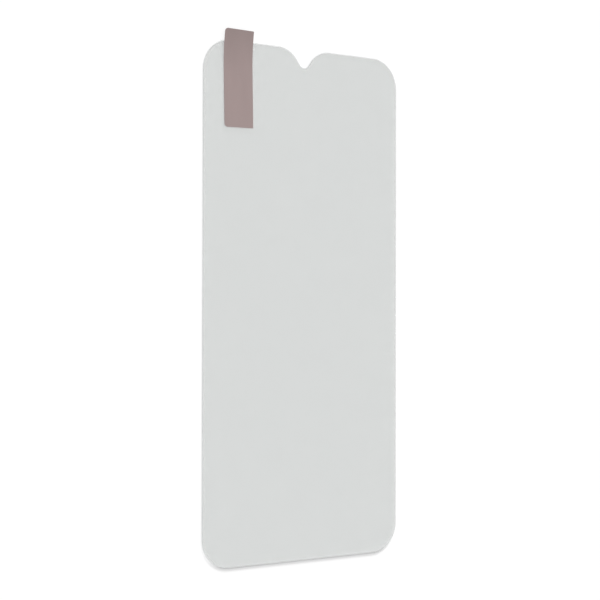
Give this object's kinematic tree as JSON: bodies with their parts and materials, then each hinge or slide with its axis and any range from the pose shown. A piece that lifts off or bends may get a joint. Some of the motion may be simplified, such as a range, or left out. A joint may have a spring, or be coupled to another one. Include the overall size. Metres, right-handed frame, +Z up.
{
  "type": "phone screen protector",
  "caption": "Clear tempered-glass phone screen protector with rounded corners and rim, a drop-shaped camera notch, adhesive coat, release liner and a pull tab curled past its top edge.",
  "frame": {"origin": "centre of the glass's outer face, which lies on the surface below", "axes": "+X across the sheet, +Y along it towards the camera notch, +Z up through the layers to the tab"},
  "size_m": [0.069, 0.1509, 0.0018],
  "materials": {
    "glass": "polished clear tempered glass with a faint grey-green tint",
    "adhesive": "clear silicone coat",
    "liner": "clear glossy polyester film",
    "tab": "matt grey-brown film tape"
  },
  "bodies": {
    "root": {"tempered_glass": "glass", "adhesive_layer": "adhesive", "release_liner": "liner", "pull_tab": "tab"}
  },
  "joints": []
}
